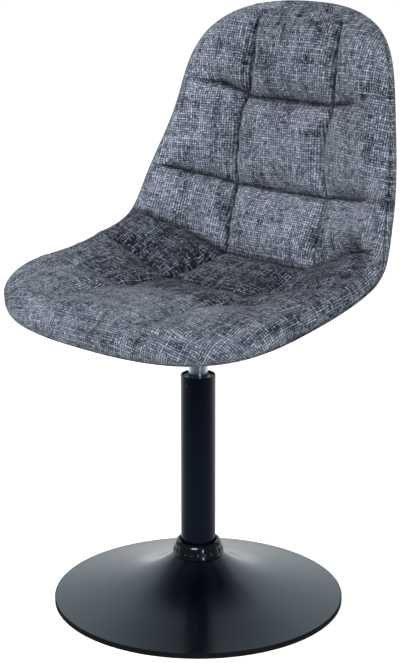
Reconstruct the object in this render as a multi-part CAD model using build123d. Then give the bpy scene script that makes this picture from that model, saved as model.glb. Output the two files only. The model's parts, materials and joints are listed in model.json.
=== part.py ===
from build123d import *
import math
import os

# Swivel dining chair: a padded one-piece scoop seat on a gas lift column and a round trumpet base.
# Frame: +Z up, floor at z = 0, swivel axis on Z, the sitter faces -Y. All sizes in millimetres.

# Clearances
fit_gap = 0.05            # radial, seated fits inside one body
running_gap = 0.06        # radial, shafts that turn or slide
soft_gap = 0.3            # between padding and what it lies on
step_gap = 0.3            # axial, between moving stacks
overcut = 1.0             # how far a cut runs past the face it opens
search_steps = 40         # halvings in a search for a place

# Base
base_diameter = 420.0
ring_height = 8.0
ring_width = 10.0
ring_wall = 1.2           # outside the dish's edge
ring_chamfer = 1.0
ring_top_chamfer = 0.4
dish_wall = 2.0
dish_margin = 6.0         # straight part of the dish that lies on the ring
flare_radius = 80.0       # where the trumpet passes from steep to flat
flare_height = 41.4
skirt_radius = 150.0
skirt_height = 20.5
neck_height = 70.0
neck_angle = 41.0         # of the dish's slope at the neck, from level
edge_angle = 11.0
dish_line_steps = 8
socket_wall = 8.0
socket_bottom = 14.0
brace_height = 17.0
brace_thickness = 2.5

# Collar at the foot of the column
collar_height = 21.0
collar_band_height = 16.0
collar_foot = 1.5         # plain edge under the fluted band
collar_band_wall = 12.5
collar_neck_wall = 8.5    # at the band's top
collar_lip_wall = 7.2
collar_mouth_wall = 2.5
collar_mouth_depth = 4.0
collar_round = 2.0
flute_count = 24
flute_radius = 3.2
flute_depth = 1.3
flute_margin = 2.5        # from the flute's round ends to the band's edges

# Column
column_diameter = 50.0
column_wall = 2.0
column_foot = 20.0
foot_taper = 1.25         # radius lost from the neck down to the foot
column_flange = 6.0       # inward flange that carries the end plate
end_plate_thickness = 4.0
bush_length = 70.0
bush_set_back = 3.5
snap_hole_radius = 2.5
snap_hole_below_mouth = 13.0
snap_recess = 0.6
mouth_chamfer = 0.6

# Gas lift
cylinder_diameter = 28.0
cylinder_wall = 1.5
rod_diameter = 10.0
stroke = 120.0
shown_cylinder = 32.0     # steel showing between column and seat at the lowest height
race_thickness = 2.0
race_radius = 13.0
ball_diameter = 4.0
ball_gap = 0.02
ball_count = 10
ball_circle_radius = 9.2
cage_thickness = 1.6
cage_inset = 1.0
bumper_length = 12.0
bumper_radius = 11.0
clip_thickness = 1.5
clip_groove_depth = 0.8
clip_radius = 8.5
washer_radius = 12.0
washer_thickness = 1.5
guide_length = 16.0
seal_length = 6.0
piston_length = 14.0
piston_ring_height = 3.0
piston_ring_depth = 2.0
spigot_radius = 3.5
crimp = 1.5
crimp_width = 4.0
cone_drop = 0.8           # radius lost along the cylinder's upper cone
valve_length = 30.0
valve_wall = 2.8
pin_radius = 3.0
pin_length = 25.0
pin_stand_out = 5.0
pin_dome_radius = 6.0

# Mount under the seat
flange_size = 170.0
flange_thickness = 3.0
flange_corner = 20.0
pan_size = 100.0
pan_corner = 14.0
pan_wall = 3.0
pan_depth = 26.0
hub_below_pan = 18.0
hub_length = 32.0
hub_wall = 6.0
cylinder_past_hub = 2.0
bolt_pitch = 140.0
bolt_radius = 3.0
bolt_head_radius = 5.4
bolt_head_height = 4.0
bolt_key_radius = 2.5
bolt_key_depth = 2.5
bolt_end_gap = 1.0
bolt_washer_radius = 6.5
bolt_washer_thickness = 1.2
insert_wall = 1.5
boss_wall = 6.5
insert_cover = 2.5
thread_gap = 0.05

# Release lever
lever_arm = 34.0          # from the valve pin to the lever's pivot
lever_reach = 190.0       # from the swivel axis to the end of the rod
lever_drop = 16.0
lever_rod_radius = 4.0
lever_eye_width = 12.0
lever_eye_length = 18.0
lever_eye_height = 10.0
tongue_thickness = 3.0
tongue_past_pin = 7.0
tongue_lift = 0.3
pivot_radius = 3.0
ear_thickness = 2.5
ear_length = 20.0
ear_top = 5.0
slot_side = 3.0
slot_clearance = 1.5
grip_length = 60.0
grip_width = 22.0
grip_height = 10.0
grip_start = 150.0
grip_end_radius = 2.5
grip_roundness = 0.4      # corner radius, of the height
lever_overlap = 2.0       # of the rod into the eye

# Seat shell: centre line of the sitting surface, from the swivel axis and the front edge's height
seat_height = 458.0
front_reach = 218.0
nose_back = 15.0
nose_rise = 1.7
thigh_forward = 34.0
thigh_rise = 1.7
heel_back = 139.0
heel_rise = 35.0
lumbar_back = 167.5
lumbar_rise = 89.0
shoulder_back = 183.0
shoulder_rise = 265.5
top_back = 216.0
top_rise = 386.0
# Half widths and wing heights at even steps from the front edge to the top edge
half_widths = [233.0, 233.0, 223.0, 216.0, 198.0, 236.0]
wing_heights = [-5.0, 25.0, 54.0, 58.0, 31.0, 37.0]
wing_power = 2.57
front_corner = 142.0
front_corner_power = 2.5
top_corner = 260.0
top_corner_power = 2.37
# Layers
seat_thickness = 38.0
back_thickness = 29.0
seat_pad_depth = 23.0
back_pad_depth = 15.5
bend_start = 0.42         # where the thickness begins to change, of the shell's length
bend_span = 0.18
shell_wall = 8.0
rim_bulge = 0.9           # of half the thickness
shell_inset = 20.0        # from the pad's edge to the edge of the moulded shell
# Tufting: three columns, and rows counted from the front edge
column_seam = 83.0
front_panel = 151.0
middle_seat_panel = 92.0
rear_seat_panel = 117.0
low_back_panel = 103.0
middle_back_panel = 129.0
seam_depth = 5.0
panel_crown = 4.0
seam_half_width = 9.0
seam_place = 0.68         # outermost place of a column seam, of a narrow cut's half width
seam_room = 0.3           # widest seam side, of the space outside the seam
seam_shoulder = 0.6       # height of a seam's shoulder, of its panel's crown
panel_rise = 3.2          # distance from a row to the full crown, in row reaches
row_seam_reach = 11.0
crease_depth = 7.0
least_edge = 12.0         # least half width of a cut at the ends
end_softness = 1.6        # widest rim across a cut near the ends, in rims
end_inset = 18.0          # from each end of the centre line to the moulded shell
end_shares = [0.97, 0.8, 0.4]
station_step = 26.0

# ---------------------------------------------------------------- shell geometry


def line_points():
    """Points of the centre line, front edge first, as (y, z)."""
    return [
        (-front_reach, seat_height),
        (-front_reach + nose_back, seat_height + nose_rise),
        (-thigh_forward, seat_height + thigh_rise),
        (heel_back, seat_height + heel_rise),
        (lumbar_back, seat_height + lumbar_rise),
        (shoulder_back, seat_height + shoulder_rise),
        (top_back, seat_height + top_rise),
    ]


centre_line = Edge.make_spline([Vector(0, y, z) for y, z in line_points()])
shell_length = centre_line.length


def line_place(s):
    """Point, tangent and sitter-side normal of the centre line at length s, straight past its ends."""
    inside = min(max(s, 0.0), shell_length)
    point = centre_line.position_at(inside, position_mode=PositionMode.LENGTH)
    along = centre_line.tangent_at(inside, position_mode=PositionMode.LENGTH)
    point = point + along * (s - inside)
    normal = Vector(0, -along.Z, along.Y)
    return point, along, normal


def smooth(values, s):
    """Smooth curve through even steps of values along the shell."""
    last = len(values) - 1
    place = min(max(s / shell_length, 0.0), 1.0) * last
    i = min(int(place), last - 1)
    u = place - i
    before = values[max(i - 1, 0)]
    after = values[min(i + 2, last)]
    slope_0 = (values[i + 1] - before) / (2.0 if i > 0 else 1.0)
    slope_1 = (after - values[i]) / (2.0 if i < last - 1 else 1.0)
    return (
        values[i] * (1 - u) ** 2 * (1 + 2 * u)
        + values[i + 1] * u**2 * (3 - 2 * u)
        + slope_0 * u * (1 - u) ** 2
        - slope_1 * u**2 * (1 - u)
    )


def bend(s):
    """0 in the seat, 1 in the back, even in between."""
    return min(max((s / shell_length - bend_start) / bend_span, 0.0), 1.0)


def thickness(s):
    """Full thickness of the upholstered shell, from seat to back through the bend."""
    return seat_thickness + (back_thickness - seat_thickness) * bend(s)


def pad_depth(s):
    """Depth of the padding over the moulded shell."""
    return seat_pad_depth + (back_pad_depth - seat_pad_depth) * bend(s)


def rim(s):
    """How far the soft rim stands out from the edge of the sitting surface."""
    return rim_bulge * thickness(s) / 2


def corner(distance, length, power):
    """Share of the full width left at a distance from a rounded end."""
    u = min(max(distance / length, 0.0), 1.0)
    return (1 - (1 - u) ** power) ** (1 / power)


def surface_half_width(s):
    """Half width of the sitting surface inside its soft rim."""
    front = corner(s, front_corner, front_corner_power)
    top = corner(shell_length - s, top_corner, top_corner_power)
    return smooth(half_widths, s) * front * top


def outer_half_width(s):
    """Half width of the whole outline: the sitting surface's outline grown by the rim all round."""
    reach = rim(s)
    low = max(s - reach, 0.0)
    high = min(s + reach, shell_length)

    def grown(place):
        return surface_half_width(place) + math.sqrt(max(reach**2 - (place - s) ** 2, 0.0))

    for _ in range(search_steps):
        a = low + (high - low) / 3
        b = high - (high - low) / 3
        if grown(a) < grown(b):
            low = a
        else:
            high = b
    return grown((low + high) / 2)


def nose(s):
    """Share of the thickness left where the front and top edges round over."""
    past = max(-s / rim(0), (s - shell_length) / rim(shell_length), 0.0)
    return math.sqrt(max(1 - past**2, 0.0))


class Section:
    """One cut across the shell, square to its centre line. x is sideways, depth is from the sitter's side."""

    def __init__(self, s):
        self.s = s
        self.point, self.along, self.normal = line_place(s)
        self.full = thickness(s)
        self.share = nose(s)
        outside = outer_half_width(s)
        widest_rim = end_softness * rim(s) * self.share
        self.edge = max(surface_half_width(s), outside - widest_rim, least_edge)
        self.rim = outside - self.edge
        self.wing = smooth(wing_heights, s)
        self.width = smooth(half_widths, s)
        self.seam = min(column_seam, seam_place * self.edge)
        self.seam_side = min(seam_half_width, seam_room * (self.edge - self.seam))
        self.inner = max(self.edge - shell_inset, (self.seam + self.edge) / 2)

    def at(self, x, depth, out=0.0):
        """Point under x on the sitting surface, down its normal, and out along it."""
        side = -1.0 if x < 0 else 1.0
        reach = abs(x) / self.width
        rise = self.wing * reach**wing_power
        slope = math.atan(self.wing * wing_power * reach ** (wing_power - 1) / self.width)
        across = abs(x) + depth * math.sin(slope) + out * math.cos(slope)
        up = rise - depth * math.cos(slope) + out * math.sin(slope)
        return self.point + Vector(side * across, 0, 0) + self.normal * up

    def front_depth(self):
        return self.full * (1 - self.share) / 2

    def back_depth(self):
        return self.full * (1 + self.share) / 2

    def layer_depth(self):
        """Depth of the pad's underside, which closes to mid thickness at the ends."""
        middle = self.full / 2
        return middle + (pad_depth(self.s) - middle) * max(2 * self.share - 1, 0.0)


def arc(a, b, c):
    return Edge.make_three_point_arc(a, b, c)


def run(a, b):
    return Edge.make_line(a, b)


def rim_quarter(cut, side, surface_depth, middle_depth):
    """Points of the soft rim: on the surface, half way round, and at the rim's middle."""
    half = math.sqrt(0.5)
    between = middle_depth + (surface_depth - middle_depth) * half
    return [
        cut.at(side * cut.edge, surface_depth),
        cut.at(side * cut.edge, between, cut.rim * half),
        cut.at(side * cut.edge, middle_depth, cut.rim),
    ]


def across(cut, depth, reach):
    """Point triples of three arcs over the whole width at one depth, from -x to +x."""
    mid = (cut.seam + reach) / 2
    stops = [(-reach, -mid, -cut.seam), (-cut.seam, 0, cut.seam), (cut.seam, mid, reach)]
    return [[cut.at(x, depth) for x in triple] for triple in stops]


def forward(triples):
    return [arc(*triple) for triple in triples]


def backward(triples):
    return [arc(*triple[::-1]) for triple in triples[::-1]]


def loft(wires):
    return Solid.make_loft(wires, ruled=True)


def seam_rows():
    """The sewn rows, from the front: two on the seat, the crease, and two on the back."""
    panels = [front_panel, middle_seat_panel, rear_seat_panel, low_back_panel, middle_back_panel]
    return [sum(panels[: k + 1]) for k in range(len(panels))]


def stations():
    """Lengths along the centre line at which the shell is cut, end to end."""
    front_rim = rim(0)
    top_rim = rim(shell_length)
    found = [-front_rim * share for share in end_shares]
    edges = [0.0] + seam_rows() + [shell_length]
    for a, b in zip(edges, edges[1:]):
        start = end_inset if a == 0.0 else row_seam_reach
        stop = end_inset if b == shell_length else row_seam_reach
        spread = (b - stop) - (a + start)
        count = max(2, round(spread / station_step))
        found.append(a)
        found.extend(a + start + spread * k / count for k in range(count + 1))
    found.append(shell_length)
    found.extend(shell_length + top_rim * share for share in end_shares[::-1])
    return found


# ---------------------------------------------------------------- soft pieces


def row_fullness(s, rows):
    """0 at a sewn row, 1 in the middle of a panel."""
    nearest = min(abs(s - row) for row in rows)
    u = min(nearest / (panel_rise * row_seam_reach), 1.0)
    return 1 - (1 - u) ** 3


def pad_front(cut, fullness, extra):
    """The tufted sitting surface of one cut: three crowned panels and two sewn channels."""
    base = cut.front_depth()
    scale = cut.share * min(1.0, (cut.edge - least_edge) / column_seam)
    dip = (seam_depth + extra) * scale
    crown = base - panel_crown * scale * fullness + dip * (1 - fullness)
    wing_crown = base - panel_crown * scale * fullness + dip * (1 - fullness) / 2
    low = base + dip
    shoulder = low + (crown - low) * seam_shoulder
    inner = cut.seam - cut.seam_side
    outer = cut.seam + cut.seam_side
    mid = (outer + cut.edge) / 2
    return [
        arc(cut.at(-cut.edge, base), cut.at(-mid, wing_crown), cut.at(-outer, shoulder)),
        run(cut.at(-outer, shoulder), cut.at(-cut.seam, low)),
        run(cut.at(-cut.seam, low), cut.at(-inner, shoulder)),
        arc(cut.at(-inner, shoulder), cut.at(0, crown), cut.at(inner, shoulder)),
        run(cut.at(inner, shoulder), cut.at(cut.seam, low)),
        run(cut.at(cut.seam, low), cut.at(outer, shoulder)),
        arc(cut.at(outer, shoulder), cut.at(mid, wing_crown), cut.at(cut.edge, base)),
    ]


def pad_wire(s, rows, crease):
    """Closed outline of one cut through a pad that ends at the crease."""
    cut = Section(s)
    extra = crease_depth * max(1 - abs(s - crease) / (2 * row_seam_reach), 0.0)
    fullness = row_fullness(s, rows + [crease])
    middle = cut.full / 2
    below = cut.layer_depth()
    right = rim_quarter(cut, 1, cut.front_depth(), middle)
    left = rim_quarter(cut, -1, cut.front_depth(), middle)
    edges = pad_front(cut, fullness, extra)
    edges.append(arc(*right))
    edges.append(run(right[2], cut.at(cut.inner, below)))
    edges.extend(backward(across(cut, below, cut.inner)))
    edges.append(run(cut.at(-cut.inner, below), left[2]))
    edges.append(arc(*left[::-1]))
    return Wire(edges)


def seat_pad():
    rows = seam_rows()
    crease = rows[2]
    cuts = [s for s in stations() if s < crease - 1] + [crease - soft_gap / 2]
    return loft([pad_wire(s, rows[:2], crease) for s in cuts])


def back_pad():
    rows = seam_rows()
    crease = rows[2]
    cuts = [crease + soft_gap / 2] + [s for s in stations() if s > crease + 1]
    return loft([pad_wire(s, rows[3:], crease) for s in cuts])


def cover_wire(s, pocket):
    """Outline of one cut through the rear cover, with or without the pocket for the moulded shell."""
    cut = Section(s)
    middle = cut.full / 2 + soft_gap
    top = cut.layer_depth() + soft_gap
    floor = top + shell_wall + soft_gap
    right = rim_quarter(cut, 1, cut.back_depth(), middle)
    left = rim_quarter(cut, -1, cut.back_depth(), middle)
    edges = [arc(*left[::-1])]
    edges.extend(forward(across(cut, cut.back_depth(), cut.edge)))
    edges.append(arc(*right))
    edges.append(run(right[2], cut.at(cut.inner, top)))
    if pocket:
        edges.append(run(cut.at(cut.inner, top), cut.at(cut.inner, floor)))
        edges.extend(backward(across(cut, floor, cut.inner)))
        edges.append(run(cut.at(-cut.inner, floor), cut.at(-cut.inner, top)))
    else:
        edges.extend(backward(across(cut, top, cut.inner)))
    edges.append(run(cut.at(-cut.inner, top), left[2]))
    return Wire(edges)


def rear_cover():
    """Padded skin round the back and underside, closed past both ends of the moulded shell."""
    cuts = stations()
    first = end_inset
    last = shell_length - end_inset
    front = loft([cover_wire(s, False) for s in cuts if s < first + 1])
    middle = loft([cover_wire(s, True) for s in cuts if first - 1 < s < last + 1])
    top = loft([cover_wire(s, False) for s in cuts if s > last - 1])
    cover = front + middle + top
    for x, y in bolt_places():
        cover = cover - post(boss_radius + soft_gap, plate_top - overcut, boss_root(x, y), x, y)
    return cover


def shell_wire(s):
    cut = Section(s)
    top = cut.layer_depth() + soft_gap
    bottom = top + shell_wall
    reach = cut.inner - soft_gap
    edges = forward(across(cut, top, reach))
    edges.append(run(cut.at(reach, top), cut.at(reach, bottom)))
    edges.extend(backward(across(cut, bottom, reach)))
    edges.append(run(cut.at(-reach, bottom), cut.at(-reach, top)))
    return Wire(edges)


def moulded_shell():
    """The stiff scoop under the padding, with four bosses that reach down to the mount."""
    first = end_inset
    last = shell_length - end_inset
    cuts = [first + soft_gap] + [s for s in stations() if first + 1 < s < last - 1] + [last - soft_gap]
    shell = loft([shell_wire(s) for s in cuts])
    for x, y in bolt_places():
        shell = shell + post(boss_radius, plate_top, boss_root(x, y), x, y)
        shell = shell - post(insert_radius, plate_top - overcut, insert_top, x, y)
    return shell


# ---------------------------------------------------------------- places worked out from the sizes


def shell_height(x, y, depth):
    """Height of the shell's layer at a depth, over a point of the floor plan of the seat."""
    low = 0.0
    high = sum((front_panel, middle_seat_panel, rear_seat_panel))
    for _ in range(search_steps):
        s = (low + high) / 2
        if Section(s).at(x, depth(s)).Y < y:
            low = s
        else:
            high = s
    return Section(s).at(x, depth(s)).Z


def shell_top_depth(s):
    return pad_depth(s) + soft_gap


def bolt_places():
    half = bolt_pitch / 2
    return [(x, y) for x in (-half, half) for y in (-half, half)]


def boss_root(x, y):
    """Height inside the moulded shell at which a boss starts."""
    return shell_height(x, y, lambda s: shell_top_depth(s) + shell_wall / 2)


def lowest_underside():
    """Lowest point of the cover's underside over the mount's flange."""
    half = flange_size / 2
    return min(shell_height(0, half * k / 8, thickness) for k in range(-8, 9))



plate_top = lowest_underside() - soft_gap
flange_bottom = plate_top - flange_thickness
pan_bottom = flange_bottom - pan_depth
hub_bottom = pan_bottom - hub_below_pan
hub_top = hub_bottom + hub_length
cylinder_top = hub_top + cylinder_past_hub
pin_top = cylinder_top + pin_stand_out
tongue_bottom = pin_top + tongue_lift
pivot_height = tongue_bottom + tongue_thickness - lever_eye_height / 2
boss_radius = bolt_radius + thread_gap + insert_wall + boss_wall
insert_radius = bolt_radius + thread_gap + insert_wall
insert_top = min(shell_height(x, y, shell_top_depth) for x, y in bolt_places()) - insert_cover

column_radius = column_diameter / 2
column_top = hub_bottom - shown_cylinder
bore_radius = column_radius - column_wall
foot_radius = column_radius - foot_taper
end_plate_bottom = column_foot + column_wall
end_plate_top = end_plate_bottom + end_plate_thickness
socket_radius = column_radius + fit_gap + socket_wall
neck_radius = socket_radius + fit_gap + dish_wall
dish_edge_radius = base_diameter / 2 - ring_wall
edge_slope = math.tan(math.radians(edge_angle))

cylinder_radius = cylinder_diameter / 2
cylinder_bore = cylinder_radius - cylinder_wall
rod_radius = rod_diameter / 2
lower_race_top = end_plate_top + race_thickness
upper_race_bottom = lower_race_top + ball_diameter + 2 * ball_gap
upper_race_top = upper_race_bottom + race_thickness
bumper_top = upper_race_top + bumper_length
cylinder_bottom = bumper_top + step_gap
guide_bottom = cylinder_bottom + crimp
seal_top = guide_bottom + guide_length + seal_length
piston_bottom = seal_top + stroke + step_gap
piston_top = piston_bottom + piston_length
clip_top = end_plate_bottom - running_gap - washer_thickness
clip_bottom = clip_top - clip_thickness
valve_chamber = cylinder_top - crimp - valve_length


# ---------------------------------------------------------------- plain shapes


def post(radius, low, high, x=0.0, y=0.0):
    return Pos(x, y, low) * Cylinder(radius, high - low, align=(Align.CENTER, Align.CENTER, Align.MIN))


def tube(outer, inner, low, high):
    return post(outer, low, high) - post(inner, low - overcut, high + overcut)


def turned(points):
    """Ring turned about the swivel axis from its (radius, height) corners."""
    corners = [Vector(r, 0, z) for r, z in points]
    face = Face(Wire.make_polygon(corners, close=True))
    return revolve(face, Axis.Z)


def block(x_low, x_high, width, z_low, z_high):
    """Block centred on the XZ plane."""
    size = (x_high - x_low, width, z_high - z_low)
    return Pos(x_low, 0, z_low) * Box(*size, align=(Align.MIN, Align.CENTER, Align.MIN))


def cross_post(radius, width, x, z):
    """Round bar along Y, centred on the XZ plane."""
    return Pos(x, 0, z) * Rot(90, 0, 0) * Cylinder(radius, width)


def ring_of(shape, count):
    return Compound(children=[Rot(0, 0, 360 * k / count) * shape for k in range(count)])


# ---------------------------------------------------------------- base


def edge_height(radius, depth=0.0):
    """Height of the dish's straight margin at a radius, depth below its outer face."""
    top = ring_height + (dish_edge_radius - radius) * edge_slope
    return top - depth / math.cos(math.radians(edge_angle))


def dish_outer_line():
    margin = dish_edge_radius - dish_margin * math.cos(math.radians(edge_angle))
    start = Vector(neck_radius, 0, neck_height)
    end = Vector(margin, 0, edge_height(margin))
    steep = math.radians(neck_angle)
    flat = math.radians(edge_angle)
    tangents = [Vector(math.cos(steep), 0, -math.sin(steep)), Vector(math.cos(flat), 0, -math.sin(flat))]
    middle = [Vector(flare_radius, 0, flare_height), Vector(skirt_radius, 0, skirt_height)]
    return Edge.make_spline([start, *middle, end], tangents=tangents)


def dish_inner_line():
    """The outer line moved inwards by the sheet's thickness."""
    outer = dish_outer_line()
    points = []
    for k in range(dish_line_steps + 1):
        u = k / dish_line_steps
        along = outer.tangent_at(u)
        points.append(outer.position_at(u) + Vector(along.Z, 0, -along.X) * dish_wall)
    return Edge.make_spline(points)


def dish_inside_radius(height):
    """Radius at which the inside of the dish comes down to a height."""
    line = dish_inner_line()
    low, high = 0.0, 1.0
    for _ in range(search_steps):
        u = (low + high) / 2
        if line.position_at(u).Z > height:
            low = u
        else:
            high = u
    return line.position_at(u).X


def base_dish():
    outer = dish_outer_line()
    inner = dish_inner_line()
    top_in = Vector(socket_radius + fit_gap, 0, neck_height)
    neck_in = Vector(socket_radius + fit_gap, 0, inner.position_at(0).Z)
    edge_out = Vector(dish_edge_radius, 0, edge_height(dish_edge_radius))
    edge_in = Vector(dish_edge_radius, 0, edge_height(dish_edge_radius, dish_wall))
    outline = [
        outer,
        run(outer.position_at(1), edge_out),
        run(edge_out, edge_in),
        run(edge_in, inner.position_at(1)),
        inner,
        run(inner.position_at(0), neck_in),
        run(neck_in, top_in),
        run(top_in, outer.position_at(0)),
    ]
    return revolve(Face(Wire(outline)), Axis.Z)


def floor_ring():
    """Rubber ring under and round the dish's edge."""
    outside = base_diameter / 2
    inside = outside - ring_width
    seat = dish_edge_radius + fit_gap
    return turned(
        [
            (inside, 0),
            (outside - ring_chamfer, 0),
            (outside, ring_chamfer),
            (outside, ring_height - ring_top_chamfer),
            (outside - ring_top_chamfer, ring_height),
            (seat, ring_height),
            (seat, edge_height(seat, dish_wall + fit_gap)),
            (inside, edge_height(inside, dish_wall + fit_gap)),
        ]
    )


def taper_radius(height):
    """Outside radius of the column's foot, straight from the neck up."""
    share = (neck_height - height) / (neck_height - column_foot)
    return column_radius - foot_taper * max(share, 0.0)


def base_socket():
    return turned(
        [
            (socket_radius, socket_bottom),
            (socket_radius, neck_height),
            (taper_radius(neck_height) + fit_gap, neck_height),
            (taper_radius(socket_bottom) + fit_gap, socket_bottom),
        ]
    )


def hub_brace():
    """Flat disc inside the trumpet, from the socket out to the dish."""
    top = brace_height + brace_thickness
    outside = dish_inside_radius(top) - soft_gap
    return tube(outside, socket_radius + fit_gap, brace_height, top)


def base_collar():
    """Ring that hides the joint of column and dish, with a fluted band round its foot."""
    bore = column_radius + fit_gap
    band = column_radius + collar_band_wall
    neck = column_radius + collar_neck_wall
    lip = column_radius + collar_lip_wall
    foot = neck_height + collar_foot
    band_top = neck_height + collar_band_height
    top = neck_height + collar_height
    body = turned(
        [
            (bore, neck_height),
            (band, neck_height),
            (band, foot),
            (neck, band_top),
            (lip, band_top + collar_round),
            (lip, top - collar_round),
            (lip - collar_round, top),
            (column_radius + collar_mouth_wall, top),
            (bore, top - collar_mouth_depth),
        ]
    )
    tilt = math.degrees(math.atan((band - neck) / (band_top - foot)))
    reach = (band_top - foot) / 2 - flute_margin - flute_radius
    out = flute_radius - flute_depth
    flute = post(flute_radius, -reach, reach) + Pos(0, 0, reach) * Sphere(flute_radius)
    flute = flute + Pos(0, 0, -reach) * Sphere(flute_radius)
    flute = Pos((band + neck) / 2, 0, (foot + band_top) / 2) * Rot(0, -tilt, 0) * Pos(out, 0, 0) * flute
    return body - ring_of(flute, flute_count)


def column_tube():
    """Outer tube: straight, tapered at its foot, with a flange turned in under the end plate."""
    flange_radius = foot_radius - column_wall - column_flange
    body = turned(
        [
            (column_radius, neck_height),
            (column_radius, column_top - mouth_chamfer),
            (column_radius - mouth_chamfer, column_top),
            (bore_radius, column_top),
            (bore_radius, neck_height),
            (taper_radius(end_plate_bottom) - column_wall, end_plate_bottom),
            (flange_radius, end_plate_bottom),
            (flange_radius, column_foot),
            (foot_radius, column_foot),
        ]
    )
    return body - snap_bar(snap_hole_radius, bore_radius - overcut, column_radius + overcut)


def snap_bar(radius, near, far):
    """Short bar pointing to the front, where the bush snaps into the column."""
    height = column_top - snap_hole_below_mouth
    bar = Cylinder(radius, far - near, align=(Align.CENTER, Align.CENTER, Align.MIN))
    return Pos(0, -near, height) * Rot(90, 0, 0) * bar


def guide_bush():
    top = column_top - bush_set_back
    outside = bore_radius - fit_gap
    body = tube(outside, cylinder_radius + running_gap, top - bush_length, top)
    inside = (outside + cylinder_radius) / 2
    return body + snap_bar(snap_hole_radius - fit_gap, inside, column_radius - snap_recess)


def column_end_plate():
    outside = taper_radius(end_plate_top) - column_wall - fit_gap - soft_gap
    return tube(outside, rod_radius + running_gap, end_plate_bottom, end_plate_top)


def lower_race():
    return tube(race_radius, rod_radius + running_gap, end_plate_top, lower_race_top)


# ---------------------------------------------------------------- rod


def thrust_balls():
    radius = ball_diameter / 2
    ball = Pos(ball_circle_radius, 0, lower_race_top + ball_gap + radius) * Sphere(radius)
    return ring_of(ball, ball_count)


def ball_cage():
    middle = (lower_race_top + upper_race_bottom) / 2
    low = middle - cage_thickness / 2
    high = middle + cage_thickness / 2
    body = tube(race_radius - cage_inset, rod_radius + step_gap, low, high)
    pocket = post(ball_diameter / 2 + running_gap, low - overcut, high + overcut, ball_circle_radius)
    return body - ring_of(pocket, ball_count)


def upper_race():
    return tube(race_radius, rod_radius + fit_gap, upper_race_bottom, upper_race_top)


def rubber_bumper():
    return tube(bumper_radius, rod_radius + fit_gap, upper_race_top, bumper_top)


def piston_rod():
    neck = rod_radius - clip_groove_depth
    tip = clip_bottom - clip_thickness
    return turned(
        [
            (0, tip),
            (neck, tip),
            (rod_radius, tip + clip_groove_depth),
            (rod_radius, clip_bottom),
            (neck, clip_bottom),
            (neck, clip_top),
            (rod_radius, clip_top),
            (rod_radius, piston_bottom),
            (spigot_radius, piston_bottom),
            (spigot_radius, piston_top + crimp),
            (0, piston_top + crimp),
        ]
    )


def clip_washer():
    return tube(washer_radius, rod_radius + fit_gap, clip_top, clip_top + washer_thickness)


def retaining_clip():
    """Open clip pushed into the rod's groove from the side."""
    groove = rod_radius - clip_groove_depth
    ring = tube(clip_radius, groove + fit_gap, clip_bottom + fit_gap, clip_top - fit_gap)
    return ring - block(0, clip_radius + overcut, 2 * groove, clip_bottom - overcut, clip_top + overcut)


def piston_head():
    outside = cylinder_bore - running_gap
    middle = (piston_bottom + piston_top) / 2
    body = tube(outside, spigot_radius + fit_gap, piston_bottom, piston_top)
    low = middle - piston_ring_height / 2
    return body - tube(outside + overcut, outside - piston_ring_depth, low, low + piston_ring_height)


def piston_seal():
    outside = cylinder_bore - running_gap
    low = (piston_bottom + piston_top - piston_ring_height) / 2 + fit_gap
    high = low + piston_ring_height - 2 * fit_gap
    return tube(outside, outside - piston_ring_depth + fit_gap, low, high)


# ---------------------------------------------------------------- lifting cylinder and mount


def cone_radius(height):
    """Outside radius of the cylinder, which narrows inside the mount's hub."""
    share = (height - hub_bottom) / (cylinder_top - hub_bottom)
    return cylinder_radius - cone_drop * min(max(share, 0.0), 1.0)


def valve_radius():
    return cylinder_radius - valve_wall


def gas_cylinder():
    """Steel cylinder, crimped at its foot and round the valve at its head."""
    bottom_lip = cylinder_bore - crimp_width
    top_lip = valve_radius() - crimp_width
    return turned(
        [
            (bottom_lip, cylinder_bottom),
            (cylinder_radius, cylinder_bottom),
            (cylinder_radius, hub_bottom),
            (cone_radius(cylinder_top), cylinder_top),
            (top_lip, cylinder_top),
            (top_lip, cylinder_top - crimp),
            (valve_radius(), cylinder_top - crimp),
            (valve_radius(), valve_chamber),
            (cylinder_bore, valve_chamber - crimp),
            (cylinder_bore, guide_bottom),
            (bottom_lip, guide_bottom),
        ]
    )


def rod_guide():
    return tube(cylinder_bore - fit_gap, rod_radius + running_gap, guide_bottom, guide_bottom + guide_length)


def rod_seal():
    low = guide_bottom + guide_length
    return tube(cylinder_bore - fit_gap, rod_radius + running_gap, low, seal_top)


def valve_body():
    return tube(valve_radius() - fit_gap, pin_radius + running_gap, valve_chamber, cylinder_top - crimp)


def valve_pin():
    """Push pin with a domed end that stands out of the cylinder's head."""
    shank = post(pin_radius, pin_top - pin_length, pin_top)
    dome = Pos(0, 0, pin_top - pin_dome_radius) * Sphere(pin_dome_radius)
    return shank & (dome + post(pin_radius, pin_top - pin_length, pin_top - pin_radius))


def pan_inside():
    """The free space inside the pan, open at its top."""
    size = pan_size - 2 * pan_wall
    return rounded_plate(size, pan_corner - pan_wall, pan_bottom + pan_wall, plate_top + overcut)


def mount_plate():
    """Square plate against the seat's underside, open over the pan."""
    plate = rounded_plate(flange_size, flange_corner, flange_bottom, plate_top) - pan_inside()
    for x, y in bolt_places():
        plate = plate - post(bolt_radius + soft_gap, flange_bottom - overcut, plate_top + overcut, x, y)
    return plate


def mount_pan():
    """Pressed pan under the plate, which holds the hub and the lever."""
    body = rounded_plate(pan_size, pan_corner, pan_bottom, flange_bottom) - pan_inside()
    body = body - post(hub_radius() + fit_gap, pan_bottom - overcut, pan_bottom + pan_wall + overcut)
    wall = -pan_size / 2
    slot_bottom = rod_height(wall) - lever_rod_radius - slot_clearance
    slot_width = 2 * (lever_rod_radius + slot_side)
    return body - block(wall - overcut, wall + pan_wall + overcut, slot_width, slot_bottom, flange_bottom)


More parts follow.
